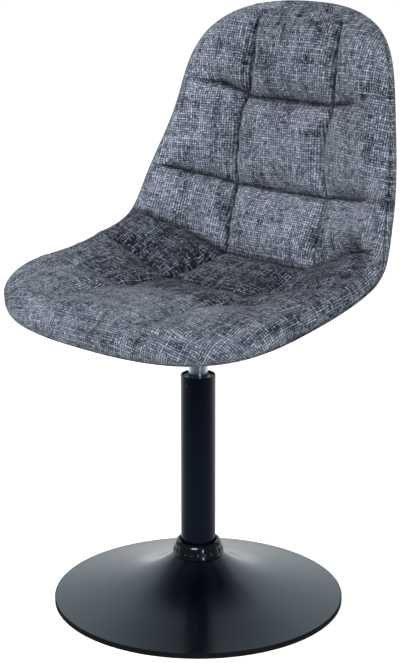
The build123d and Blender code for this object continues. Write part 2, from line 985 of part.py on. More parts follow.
def rounded_plate(size, corner_radius, low, high):
    return Pos(0, 0, low) * extrude(RectangleRounded(size, size, corner_radius), high - low)


def hub_radius():
    return cylinder_radius + fit_gap + hub_wall


def taper_hub():
    """Bored cone that the cylinder's head sits in."""
    share = (hub_top - hub_bottom) / (cylinder_top - hub_bottom)
    return turned(
        [
            (hub_radius(), hub_bottom),
            (hub_radius(), hub_top),
            (cylinder_radius - cone_drop * share + fit_gap, hub_top),
            (cylinder_radius + fit_gap, hub_bottom),
        ]
    )


def threaded_inserts():
    insert = tube(insert_radius - fit_gap, bolt_radius + thread_gap, plate_top, insert_top - fit_gap)
    return Compound(children=[Pos(x, y, 0) * insert for x, y in bolt_places()])


def bolt_washers():
    low = flange_bottom - bolt_washer_thickness
    washer = tube(bolt_washer_radius, bolt_radius + thread_gap, low, flange_bottom)
    return Compound(children=[Pos(x, y, 0) * washer for x, y in bolt_places()])


def mount_bolts():
    """Socket head bolts driven up into the shell."""
    under_head = flange_bottom - bolt_washer_thickness
    shank = post(bolt_radius, under_head, insert_top - bolt_end_gap)
    head = post(bolt_head_radius, under_head - bolt_head_height, under_head)
    key = extrude(RegularPolygon(bolt_key_radius, 6), bolt_key_depth)
    bolt = shank + head - Pos(0, 0, under_head - bolt_head_height) * key
    return Compound(children=[Pos(x, y, 0) * bolt for x, y in bolt_places()])


def lever_bracket():
    """Two ears on the pan's floor that carry the lever's pivot."""
    floor = pan_bottom + pan_wall
    gap = lever_eye_width + 2 * step_gap
    outside = gap + 2 * ear_thickness
    low_x = -lever_arm - ear_length / 2
    high_x = -lever_arm + ear_length / 2
    top = pivot_height + ear_top
    ears = block(low_x, high_x, outside, floor, top)
    ears = ears - block(low_x - overcut, high_x + overcut, gap, floor + ear_thickness, top + overcut)
    return ears - cross_post(pivot_radius + fit_gap, outside + 2 * overcut, -lever_arm, pivot_height)


def lever_pivot():
    width = lever_eye_width + 2 * step_gap + 2 * ear_thickness
    return cross_post(pivot_radius, width, -lever_arm, pivot_height)


# ---------------------------------------------------------------- release lever


def rod_slope():
    return lever_drop / (lever_reach - lever_arm)


def rod_height(x):
    """Height of the lever rod's centre over a point outside the pivot, where x is negative."""
    return pivot_height - (-x - lever_arm) * rod_slope()


def along_rod(shape, x):
    """Moves a shape that runs along +X so that it runs outwards down the lever from x."""
    tilt = math.degrees(math.atan(rod_slope()))
    return Pos(x, 0, rod_height(x)) * Rot(0, -tilt, 0) * Rot(0, 0, 180) * shape


def release_lever():
    """Rod with a flat eye at the pivot and a tongue that lies over the valve pin."""
    eye_in = -lever_arm + lever_eye_length / 2
    eye_out = -lever_arm - lever_eye_length / 2
    eye_low = pivot_height - lever_eye_height / 2
    eye = block(eye_out, eye_in, lever_eye_width, eye_low, eye_low + lever_eye_height)
    top = tongue_bottom + tongue_thickness
    tongue = block(eye_in - lever_overlap, tongue_past_pin, lever_eye_width, tongue_bottom, top)
    length = (lever_reach + eye_out) / math.cos(math.atan(rod_slope()))
    rod = Rot(0, 90, 0) * post(lever_rod_radius, 0, length + lever_overlap)
    body = eye + tongue + along_rod(rod, eye_out + lever_overlap)
    through = lever_eye_width + 2 * overcut
    return body - cross_post(pivot_radius + running_gap, through, -lever_arm, pivot_height)


def lever_grip():
    """Moulded paddle pushed over the end of the rod."""
    outline = RectangleRounded(grip_height, grip_width, grip_height * grip_roundness)
    body = Rot(0, 90, 0) * extrude(outline, grip_length)
    body = fillet(body.edges().group_by(Axis.X)[-1], grip_end_radius)
    rod_in_grip = (lever_reach - grip_start) / math.cos(math.atan(rod_slope())) + overcut
    bore = Rot(0, 90, 0) * post(lever_rod_radius + fit_gap, -overcut, rod_in_grip)
    return along_rod(body - bore, -grip_start)


# ---------------------------------------------------------------- writing the parts

parts = [
    floor_ring,
    base_dish,
    base_socket,
    hub_brace,
    base_collar,
    column_tube,
    guide_bush,
    column_end_plate,
    lower_race,
    thrust_balls,
    ball_cage,
    upper_race,
    rubber_bumper,
    piston_rod,
    clip_washer,
    retaining_clip,
    piston_head,
    piston_seal,
    gas_cylinder,
    rod_guide,
    rod_seal,
    valve_body,
    valve_pin,
    mount_plate,
    mount_pan,
    taper_hub,
    threaded_inserts,
    bolt_washers,
    mount_bolts,
    lever_bracket,
    lever_pivot,
    release_lever,
    lever_grip,
    moulded_shell,
    rear_cover,
    seat_pad,
    back_pad,
]

os.makedirs("parts", exist_ok=True)
for part in parts:
    export_step(part(), f"parts/{part.__name__}.step")
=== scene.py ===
import json
import math

import bpy
import numpy as np
from mathutils import Matrix, Vector


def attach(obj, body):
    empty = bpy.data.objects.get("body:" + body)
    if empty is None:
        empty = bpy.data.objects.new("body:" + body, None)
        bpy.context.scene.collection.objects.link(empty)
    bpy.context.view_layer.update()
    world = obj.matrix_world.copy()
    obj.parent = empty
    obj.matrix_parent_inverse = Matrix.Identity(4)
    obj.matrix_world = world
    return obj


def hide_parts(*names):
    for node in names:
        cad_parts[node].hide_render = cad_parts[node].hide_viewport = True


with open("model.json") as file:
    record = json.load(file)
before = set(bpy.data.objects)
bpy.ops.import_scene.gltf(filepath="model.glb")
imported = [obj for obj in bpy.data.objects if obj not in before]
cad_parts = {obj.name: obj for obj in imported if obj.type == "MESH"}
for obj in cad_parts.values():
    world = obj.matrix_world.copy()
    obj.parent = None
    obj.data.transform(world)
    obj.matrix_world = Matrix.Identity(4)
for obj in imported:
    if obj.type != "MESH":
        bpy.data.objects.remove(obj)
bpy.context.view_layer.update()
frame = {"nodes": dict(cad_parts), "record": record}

nodes = frame["nodes"]
print("frame loaded:", len(nodes), "nodes")

# the camera that the photo was taken with

photoCamera = {
    "lens": 92.86,
    "place": (1.6412, -1.6515, 1.0284),
    "forward": (-0.6799, 0.6858, -0.2596),
    "up": (-0.1822, 0.1849, 0.9657),
    "nearest": 0.05,
}


def addCamera():
    data = bpy.data.cameras.new("photoCamera")
    data.lens = photoCamera["lens"]
    data.clip_start = photoCamera["nearest"]
    camera = bpy.data.objects.new("photoCamera", data)
    bpy.context.scene.collection.objects.link(camera)
    forward = Vector(photoCamera["forward"]).normalized()
    right = forward.cross(Vector(photoCamera["up"])).normalized()
    up = right.cross(forward)
    turn = Matrix((right, up, -forward)).transposed().to_4x4()
    camera.matrix_world = Matrix.Translation(photoCamera["place"]) @ turn
    bpy.context.scene.camera = camera


addCamera()
print("camera placed")

# small helpers for materials

noiseRange = (0.3, 0.7)          # nearly all values of a noise lie between these


def newMaterial(name):
    material = bpy.data.materials.new(name)
    material.use_nodes = True
    tree = material.node_tree
    return material, tree, tree.nodes["Principled BSDF"]


def addNode(tree, kind, **values):
    node = tree.nodes.new(kind)
    for key, value in values.items():
        setattr(node, key, value)
    return node


def setInputs(node, values):
    for name, value in values.items():
        node.inputs[name].default_value = value


def link(tree, start, end):
    tree.links.new(start, end)


def feed(tree, socket, value):
    # a fixed value is set, and another node's output is linked
    if isinstance(value, (int, float, tuple)):
        socket.default_value = value
    else:
        link(tree, value, socket)


def mathNode(tree, operation, *values, clamp=False):
    node = addNode(tree, "ShaderNodeMath", operation=operation, use_clamp=clamp)
    for socket, value in zip(node.inputs, values):
        feed(tree, socket, value)
    return node.outputs[0]


def plus(tree, a, b):
    return mathNode(tree, "ADD", a, b)


def minus(tree, a, b, clamp=False):
    return mathNode(tree, "SUBTRACT", a, b, clamp=clamp)


def times(tree, a, b):
    return mathNode(tree, "MULTIPLY", a, b)


def divided(tree, a, b):
    return mathNode(tree, "DIVIDE", a, b)


def larger(tree, a, b):
    return mathNode(tree, "MAXIMUM", a, b)


def vectorNode(tree, operation, *values):
    node = addNode(tree, "ShaderNodeVectorMath", operation=operation)
    for socket, value in zip(node.inputs, values):
        feed(tree, socket, value)
    return node


def scaled(tree, colour, share):
    node = vectorNode(tree, "SCALE", colour)
    link(tree, share, node.inputs["Scale"])
    return node.outputs[0]


def joinPlace(tree, *values):
    node = addNode(tree, "ShaderNodeCombineXYZ")
    for socket, value in zip(node.inputs, values):
        feed(tree, socket, value)
    return node.outputs[0]


def objectPlace(tree):
    return addNode(tree, "ShaderNodeTexCoord").outputs["Object"]


def noiseNode(tree, place, scale, detail=2.0, roughness=0.5):
    noise = addNode(tree, "ShaderNodeTexNoise")
    setInputs(noise, {"Scale": scale, "Detail": detail, "Roughness": roughness})
    link(tree, place, noise.inputs["Vector"])
    return noise


def noiseOn(tree, place, scale, detail=2.0, roughness=0.5, stretch=(1, 1, 1), shift=(0, 0, 0)):
    mapping = addNode(tree, "ShaderNodeMapping")
    setInputs(mapping, {"Scale": stretch, "Location": shift})
    link(tree, place, mapping.inputs["Vector"])
    return noiseNode(tree, mapping.outputs[0], scale, detail, roughness).outputs["Fac"]


def rampOn(tree, value, stops):
    ramp = addNode(tree, "ShaderNodeValToRGB")
    elements = ramp.color_ramp.elements
    for element, (place, colour) in zip(elements, (stops[0], stops[-1])):
        element.position = place
        element.color = (*colour, 1)
    for place, colour in stops[1:-1]:
        elements.new(place).color = (*colour, 1)
    link(tree, value, ramp.inputs["Fac"])
    return ramp.outputs["Color"]


def spanOn(tree, value, low, high, outLow, outHigh):
    span = addNode(tree, "ShaderNodeMapRange")
    link(tree, value, span.inputs["Value"])
    setInputs(span, {"From Min": low, "From Max": high, "To Min": outLow, "To Max": outHigh})
    return span.outputs[0]


def bumpOn(tree, shader, height, distance):
    bump = addNode(tree, "ShaderNodeBump")
    setInputs(bump, {"Distance": distance, "Strength": 1.0})
    link(tree, height, bump.inputs["Height"])
    link(tree, bump.outputs[0], shader.inputs["Normal"])


def colourBetween(tree, shader, value, low, high, span=noiseRange):
    colour = rampOn(tree, value, [(span[0], low), (span[1], high)])
    link(tree, colour, shader.inputs["Base Color"])


# how the woven cover looks; every length is in metres on the cloth

fabricLook = {
    "pitch": 0.0036,             # from one thread to the next
    "under": 0.62,               # height of a thread where it goes under, 1 being over
    "wander": 0.0010,            # how far threads stray
    "wanderScale": 110.0,
    "drift": 0.0045,             # and how far they bow over a hand's width
    "driftScale": 22.0,
    "slubAlong": 0.007,          # mean length of a thick or thin stretch, up the seat
    "slubAcross": 0.006,         # and across it
    "slubStep": 5.37,            # how far its noise moves from one thread to the next
    "slubRange": (0.32, 0.68),   # noise in the thinnest and the thickest stretches
    "slubLow": 0.38,             # lightness of the thinnest stretches
    "slubRoughness": 0.6,
    "acrossShare": 0.90,         # lightness of the threads across, beside those up the seat
    "threadWidth": 0.82,         # power of the ridge: less is wider
    "lyingThin": 1.9,            # and what is added to it where the pile lies
    "streak": 0.075,             # length of darker and lighter lines
    "streakStep": 3.91,
    "streakShare": 0.17,
    "lyingContrast": 1.15,       # how much darker the sunk threads are where the pile lies
    "sunkRun": 0.014,            # length of a sunk stretch
    "sunkGroup": 0.65,           # how unlike the next thread's stretches they are
    "sunkRange": (0.42, 0.54),   # noise below which a thread is sunk, and above which it isn't
    "alternate": 0.05,           # how far every second thread is sunk
    "sunkEverywhere": 0.12,      # how much darker the sunk threads are where the pile stands
    # what keeps one noise unlike another
    "upShift": 1.7,
    "sideShift": 8.3,
    "streakShift": 17.3,
    "sunkShift": 29.9,
    "patchShift": (7, 2, 5),
    "broadShift": (3, 1, 8),
    # colours, and the tones at which they are reached
    "hole": (0.0085, 0.0120, 0.0215),
    "thread": (0.104, 0.119, 0.153),
    "middle": (0.235, 0.262, 0.320),
    "bright": (0.470, 0.520, 0.620),
    "tones": (0.14, 0.38, 0.62, 1.0),
    "patchNoise": (27.0, 4.0, 0.68),     # scale, detail and roughness of the crushed patches
    "patchStretch": (0.5, 1.9),  # scale along the threads and across them
    "patchSlub": (0.2, 0.8),     # noise of the thick stretches that makes a patch ragged
    "patchRagged": 0.09,         # and how far it does
    "patchLying": 0.12,          # how much readier the lying pile is to be crushed
    "patchRange": (0.50, 0.63),
    "patchDark": 0.22,           # how far the tone falls in the crushed patches
    "broadScale": 7.0,
    "broadTone": 0.05,           # how far the tone differs from place to place
    "paintedPileShade": 0.02,            # how far it falls where the pile shade is lowest, as painted shade
    "paintedPileFade": 0.10,            # and how much darker the colour is painted there, as painted shade
    "paintedPileLight": (1.5, 2.0),     # a pile shade above 1, and how many times lighter the colour is painted at it, as painted light
    "seamDark": 0.10,
    "roughness": 0.95,
    "mirror": 0.08,
    "sheen": 0.06,
    "sheenRoughness": 0.5,
    "bump": 0.0012,
}


def threadRun(tree, across, along, lyingAndShade, look, slub, heights, shift):
    # height, lightness and thickness of the threads that run one way; heights are those
    # at either end of the wave that takes them over and under the others
    number = mathNode(tree, "ROUND", divided(tree, across, look["pitch"]))
    turn = times(tree, across, math.pi / look["pitch"])
    thin = plus(tree, times(tree, lyingAndShade, look["lyingThin"]), look["threadWidth"])
    ridge = mathNode(tree, "ABSOLUTE", mathNode(tree, "COSINE", turn))
    ridge = mathNode(tree, "POWER", ridge, thin)
    step = plus(tree, divided(tree, along, look["pitch"]), number)
    wave = mathNode(tree, "COSINE", times(tree, step, math.pi))
    height = times(tree, ridge, spanOn(tree, wave, -1.0, 1.0, *heights))

    def noiseAlong(threadStep, length, shift, detail, roughness):
        # drawn out along each thread, and different on the next
        place = joinPlace(tree, times(tree, number, threadStep), divided(tree, along, length), shift)
        return noiseOn(tree, place, 1.0, detail, roughness)

    thick = noiseAlong(look["slubStep"], slub, shift, 2.0, look["slubRoughness"])
    line = noiseAlong(look["streakStep"], look["streak"], shift + look["streakShift"], 1.0, 0.5)
    uneven = noiseAlong(look["sunkGroup"], look["sunkRun"], shift + look["sunkShift"],
                        1.0, look["slubRoughness"])
    beside = mathNode(tree, "COSINE", times(tree, number, math.pi))
    uneven = plus(tree, uneven, times(tree, beside, look["alternate"]))
    sunk = spanOn(tree, uneven, *look["sunkRange"], 1.0, 0.0)
    streaks = spanOn(tree, line, *noiseRange, -look["streakShare"], look["streakShare"] / 2)
    lightness = plus(tree, spanOn(tree, thick, *look["slubRange"], look["slubLow"], 1.0), streaks)
    depth = plus(tree, times(tree, lyingAndShade, look["lyingContrast"]), look["sunkEverywhere"])
    return height, minus(tree, lightness, times(tree, sunk, depth), clamp=True), thick


def weavePlace(tree, place, look):
    # the place on the cloth, moved as the threads stray and bow
    bowed = noiseNode(tree, place, look["driftScale"], 0.0).outputs["Color"]
    bowed = vectorNode(tree, "MULTIPLY_ADD", bowed, (look["drift"], look["drift"], 0), place)
    stray = noiseNode(tree, place, look["wanderScale"]).outputs["Color"]
    stray = vectorNode(tree, "SUBTRACT", stray, (0.5, 0.5, 0.5))
    reach = look["wander"] * 2
    moved = vectorNode(tree, "MULTIPLY_ADD", stray.outputs[0], (reach, reach, 0), bowed.outputs[0])
    split = addNode(tree, "ShaderNodeSeparateXYZ")
    link(tree, moved.outputs[0], split.inputs[0])
    return split.outputs["X"], split.outputs["Y"]


def toneFall(tree, place, pileAndShade, lyingAndShade, thick, look):
    # how far the tone falls in the crushed patches, which are drawn out along the threads
    # of either way, and from place to place
    along, across = look["patchStretch"]
    lengthwise = noiseOn(tree, place, *look["patchNoise"], (across, along, 1))
    crosswise = noiseOn(tree, place, *look["patchNoise"], (along, across, 1), look["patchShift"])
    patch = times(tree, plus(tree, lengthwise, crosswise), 0.5)
    edge = spanOn(tree, thick, *look["patchSlub"], -look["patchRagged"], look["patchRagged"])
    patch = plus(tree, patch, edge)
    patch = plus(tree, patch, times(tree, lyingAndShade, look["patchLying"]))
    fall = spanOn(tree, patch, *look["patchRange"], 0.0, look["patchDark"])
    broad = noiseOn(tree, place, look["broadScale"], shift=look["broadShift"])
    fall = plus(tree, fall, spanOn(tree, broad, *noiseRange, look["broadTone"], -look["broadTone"]))
    # the tone falls further where the pile shade is below 1, as painted shade
    return plus(tree, fall, times(tree, minus(tree, 1.0, pileAndShade), look["paintedPileShade"]))


def makeFabric(name, look):
    material, tree, shader = newMaterial(name)
    place = addNode(tree, "ShaderNodeUVMap", uv_map="weave").outputs[0]
    x, s = weavePlace(tree, place, look)
    pileAndShade = addNode(tree, "ShaderNodeAttribute", attribute_name="pileAndPaintedShade").outputs["Fac"]
    # where the pile lies down; the same value carries the painted shade on the seat's hollow
    lyingAndShade = minus(tree, 1.0, pileAndShade, clamp=True)
    under = look["under"]
    up, upLight, upThick = threadRun(
        tree, x, s, lyingAndShade, look, look["slubAlong"], (under, 1.0), look["upShift"])
    side, sideLight, _ = threadRun(
        tree, s, x, lyingAndShade, look, look["slubAcross"], (1.0, under), look["sideShift"])
    sideTone = times(tree, times(tree, side, sideLight), look["acrossShare"])
    tone = larger(tree, times(tree, up, upLight), sideTone)
    tone = minus(tree, tone, toneFall(tree, place, pileAndShade, lyingAndShade, upThick, look))
    colours = [look[key] for key in ("hole", "thread", "middle", "bright")]
    colour = rampOn(tree, tone, list(zip(look["tones"], colours)))
    seam = addNode(tree, "ShaderNodeAttribute", attribute_name="seamShade").outputs["Fac"]
    # the pile shade paints the colour darker below 1 and lighter above it, as painted shade and
    # painted light
    kept = minus(tree, 1.0, times(tree, lyingAndShade, look["paintedPileFade"]))
    most, light = look["paintedPileLight"]
    kept = times(tree, kept, spanOn(tree, pileAndShade, 1.0, most, 1.0, light))
    share = times(tree, kept, spanOn(tree, seam, 0.0, 1.0, 1.0, look["seamDark"]))
    link(tree, scaled(tree, colour, share), shader.inputs["Base Color"])
    setInputs(shader, {"Roughness": look["roughness"], "Specular IOR Level": look["mirror"],
                       "Sheen Weight": look["sheen"], "Sheen Roughness": look["sheenRoughness"]})
    bumpOn(tree, shader, larger(tree, up, side), look["bump"])
    return material


# paints and hard plastics; a noise is given as scale, detail, roughness and stretch

paintLook = {
    "tint": (0.72, 0.88, 1.0, 1),
    "toneNoise": (14.0, 3.0, 0.6),
    "darker": 0.82,
    "smudgeNoise": (9.0, 4.0, 0.65, (1, 1, 0.4)),
    "smudge": (0.88, 1.12),      # of the roughness
}


def makePaint(name, colour, roughness, grain=900.0, grainHeight=0.00003, mirror=0.5):
    material, tree, shader = newMaterial(name)
    setInputs(shader, {"Specular IOR Level": mirror, "Specular Tint": paintLook["tint"]})
    place = objectPlace(tree)
    darker = tuple(paintLook["darker"] * c for c in colour)
    colourBetween(tree, shader, noiseOn(tree, place, *paintLook["toneNoise"]), darker, colour)
    smudge = noiseOn(tree, place, *paintLook["smudgeNoise"])
    low, high = (roughness * share for share in paintLook["smudge"])
    link(tree, spanOn(tree, smudge, *noiseRange, low, high), shader.inputs["Roughness"])
    bumpOn(tree, shader, noiseOn(tree, place, grain, 1.0), grainHeight)
    return material


metalLook = {
    "lineNoise": (1.0, 3.0, 0.6),
    "darker": 0.8,
    "bump": 0.00001,
    "turnedAngle": 0.25,         # of a full turn
}


def makeMetal(name, colour, roughness, stretch, scratch=0.12, turned=0.0):
    material, tree, shader = newMaterial(name)
    lines = noiseOn(tree, objectPlace(tree), *metalLook["lineNoise"], stretch)
    colourBetween(tree, shader, lines, tuple(metalLook["darker"] * c for c in colour), colour)
    low, high = roughness - scratch / 2, roughness + scratch / 2
    link(tree, spanOn(tree, lines, *noiseRange, low, high), shader.inputs["Roughness"])
    shader.inputs["Metallic"].default_value = 1.0
    bumpOn(tree, shader, lines, metalLook["bump"])
    if turned:
        # ground round its axis, so that lights are drawn out along it
        setInputs(shader, {"Anisotropic": turned, "Anisotropic Rotation": metalLook["turnedAngle"]})
        tangent = addNode(tree, "ShaderNodeTangent", direction_type="RADIAL", axis="Z")
        link(tree, tangent.outputs[0], shader.inputs["Tangent"])
    return material


bushLook = {
    "colour": (0.50, 0.53, 0.56),
    "roughness": 0.4,
    "paintedShadeReach": (0.0234, 0.0240),       # radius beyond which the bush is painted dark, as painted shade at its edge inside the column's mouth
    "paintedShadeLevel": 0.012,
    "cloudNoise": (60.0, 2.0),
    "cloudShade": (0.9, 1.0),
    "grain": 500.0,
    "grainHeight": 0.00002,
}


def makeBush(name):
    # pale acetal, painted nearly black at its outer edge, as painted shade inside the column's mouth
    material, tree, shader = newMaterial(name)
    place = objectPlace(tree)
    flat = vectorNode(tree, "MULTIPLY", place, (1, 1, 0)).outputs[0]
    reach = vectorNode(tree, "LENGTH", flat).outputs["Value"]
    # painted shade at the bush's outer edge
    paintedShadeEdge = spanOn(tree, reach, *bushLook["paintedShadeReach"], 1.0, bushLook["paintedShadeLevel"])
    cloudy = noiseOn(tree, place, *bushLook["cloudNoise"])
    cloudy = spanOn(tree, cloudy, *noiseRange, *bushLook["cloudShade"])
    shade = scaled(tree, bushLook["colour"], times(tree, paintedShadeEdge, cloudy))
    link(tree, shade, shader.inputs["Base Color"])
    shader.inputs["Roughness"].default_value = bushLook["roughness"]
    bumpOn(tree, shader, noiseOn(tree, place, bushLook["grain"], 1.0), bushLook["grainHeight"])
    return material


rubberLook = {
    "cloudNoise": (40.0, 3.0),
    "cloudRange": (0.3, 0.8),
    "lighter": 1.5,
    "roughness": 0.7,
    "mirror": 0.12,
    "grain": 1500.0,
    "grainHeight": 0.00005,
}


def makeRubber(name, colour):
    material, tree, shader = newMaterial(name)
    place = objectPlace(tree)
    lighter = tuple(rubberLook["lighter"] * c for c in colour)
    cloudy = noiseOn(tree, place, *rubberLook["cloudNoise"])
    colourBetween(tree, shader, cloudy, colour, lighter, rubberLook["cloudRange"])
    setInputs(shader, {"Roughness": rubberLook["roughness"],
                       "Specular IOR Level": rubberLook["mirror"]})
    bumpOn(tree, shader, noiseOn(tree, place, rubberLook["grain"], 1.0), rubberLook["grainHeight"])
    return material


finishes = {
    "front_fabric": makeFabric("slateWeave", fabricLook),
    "rear_fabric": makeFabric("slateWeaveRear", fabricLook),
    "shell_plastic": makePaint("mouldedShell", (0.02, 0.02, 0.02), 0.5,
                               grain=700.0, grainHeight=0.00005),
    "base_paint": makePaint("satinBase", (0.0003, 0.0006, 0.0024), 0.19,
                            grain=1400.0, grainHeight=0.000015, mirror=0.77),
    "column_paint": makePaint("satinColumn", (0.0006, 0.0022, 0.0085), 0.20,
                              grain=1400.0, grainHeight=0.00002, mirror=0.18),
    "mount_paint": makePaint("mattMount", (0.010, 0.010, 0.011), 0.5,
                             grain=1100.0, grainHeight=0.00004, mirror=0.4),
    "lever_paint": makePaint("satinLever", (0.008, 0.008, 0.009), 0.4),
    "collar_plastic": makePaint("glossCollar", (0.0008, 0.0012, 0.0022), 0.14,
                                grain=300.0, grainHeight=0.00001, mirror=0.36),
    "grip_plastic": makePaint("mattGrip", (0.010, 0.010, 0.010), 0.55,
                              grain=1600.0, grainHeight=0.00008),
    "bush_plastic": makeBush("paleBush"),
    "floor_rubber": makeRubber("floorRubber", (0.0020, 0.0022, 0.0030)),
    "seal_rubber": makeRubber("sealRubber", (0.02, 0.02, 0.02)),
    "cylinder_steel": makeMetal("groundSteel", (0.45, 0.53, 0.65), 0.25, (30, 30, 900),
                                scratch=0.06, turned=0.8),
    "bearing_steel": makeMetal("bearingSteel", (0.6, 0.6, 0.6), 0.2, (60, 60, 60)),
    "raw_steel": makeMetal("rawSteel", (0.35, 0.35, 0.35), 0.45, (90, 90, 400)),
    "zinc_steel": makeMetal("zincSteel", (0.62, 0.63, 0.65), 0.32, (120, 120, 120)),
    "insert_brass": makeMetal("insertBrass", (0.72, 0.55, 0.25), 0.3, (90, 90, 400)),
}


def setFinish(piece, slotName):
    piece.data.materials.clear()
    piece.data.materials.append(finishes[slotName])


for part in frame["record"]["subparts"]:
    setFinish(nodes[part["node"]], part["material_slot"])
print("materials made:", len(finishes))

# the scoop seat's surface, in metres: s runs along the middle from the front edge to the top edge

shellShape = {
    "linePoints": [(-0.218, 0.458), (-0.203, 0.4597), (-0.034, 0.4597), (0.139, 0.493),
                   (0.1675, 0.547), (0.183, 0.7235), (0.216, 0.844)],
    "lineSlopes": [(0.9924, 0.1308), (0.9916, 0.0974), (1.0753, -0.0578), (0.6469, 0.7016),
                   (0.3063, 0.9802), (0.0581, 1.0022), (0.5634, 0.8917)],
    "halfWidths": [0.233, 0.233, 0.223, 0.216, 0.198, 0.236],
    "wingHeights": [-0.005, 0.025, 0.054, 0.058, 0.031, 0.037],
    "wingPower": 2.57,
    "frontCorner": (0.142, 2.5),
    "topCorner": (0.260, 2.37),
    "seatThickness": 0.038,
    "backThickness": 0.029,
    "bendStart": 0.42,
    "bendSpan": 0.18,
    "rimBulge": 0.9,
    "frontCornerPlace": 0.045,   # where the mesh's corners meet the outline
    "topCornerPlace": 0.050,
    "normalStep": 0.0006,        # half the width over which the surface's slope is taken
}


def lineTable(steps=4000):
    points = np.array(shellShape["linePoints"])
    slopes = np.array(shellShape["lineSlopes"])
    spans = np.linalg.norm(np.diff(points, axis=0), axis=1)
    knots = np.concatenate([[0], np.cumsum(spans)])
    t = np.linspace(0, knots[-1], steps)
    i = np.clip(np.searchsorted(knots, t, side="right") - 1, 0, len(spans) - 1)
    h = spans[i][:, None]
    w = ((t - knots[i]) / spans[i])[:, None]
    line = (points[i] * (1 + 2 * w) * (1 - w) ** 2 + points[i + 1] * w * w * (3 - 2 * w)
            + slopes[i] * h * w * (1 - w) ** 2 - slopes[i + 1] * h * w * w * (1 - w))
    length = np.concatenate([[0], np.cumsum(np.linalg.norm(np.diff(line, axis=0), axis=1))])
    along = np.gradient(line, length, axis=0)
    along /= np.linalg.norm(along, axis=1)[:, None]
    return length, line, along


lineLength, linePlaces, lineAlong = lineTable()
shellLength = lineLength[-1]


def placeOnLine(s):
    inside = np.clip(s, 0, shellLength)
    y = np.interp(inside, lineLength, linePlaces[:, 0])
    z = np.interp(inside, lineLength, linePlaces[:, 1])
    ty = np.interp(inside, lineLength, lineAlong[:, 0])
    tz = np.interp(inside, lineLength, lineAlong[:, 1])
    zero = np.zeros_like(y)
    point = np.stack([zero, y + ty * (s - inside), z + tz * (s - inside)], -1)
    return point, np.stack([zero, -tz, ty], -1)


def smoothValues(values, s):
    values = np.array(values)
    last = len(values) - 1
    place = np.clip(s / shellLength, 0, 1) * last
    i = np.minimum(place.astype(int), last - 1)
    u = place - i
    before = values[np.maximum(i - 1, 0)]
    after = values[np.minimum(i + 2, last)]
    slopeA = (values[i + 1] - before) / np.where(i > 0, 2.0, 1.0)
    slopeB = (after - values[i]) / np.where(i < last - 1, 2.0, 1.0)
    return (values[i] * (1 - u) ** 2 * (1 + 2 * u) + values[i + 1] * u * u * (3 - 2 * u)
            + slopeA * u * (1 - u) ** 2 - slopeB * u * u * (1 - u))


def cornerShare(distance, size):
    u = np.clip(distance / size[0], 0, 1)
    return (1 - (1 - u) ** size[1]) ** (1 / size[1])


def halfWidth(s):
    front = cornerShare(s, shellShape["frontCorner"])
    top = cornerShare(shellLength - s, shellShape["topCorner"])
    return smoothValues(shellShape["halfWidths"], s) * front * top


def bendShare(s):
    return np.clip((s / shellLength - shellShape["bendStart"]) / shellShape["bendSpan"], 0, 1)


def thicknessAt(s):
    seat, back = shellShape["seatThickness"], shellShape["backThickness"]
    return seat + (back - seat) * bendShare(s)


def surfaceAt(x, s):
    point, normal = placeOnLine(s)
    part = np.abs(x) / smoothValues(shellShape["halfWidths"], s)
    rise = smoothValues(shellShape["wingHeights"], s) * part ** shellShape["wingPower"]
    point = point + normal * rise[..., None]
    point[..., 0] += x
    return point


def normalAt(x, s):
    d = shellShape["normalStep"]
    across = surfaceAt(x + d, s) - surfaceAt(x - d, s)
    along = surfaceAt(x, s + d) - surfaceAt(x, s - d)
    normal = np.cross(across, along)
    return normal / np.linalg.norm(normal, axis=-1)[..., None]


def smoothStep(low, high, value):
    u = np.clip((value - low) / (high - low), 0, 1)
    return u * u * (3 - 2 * u)


# the net that both covers are made on

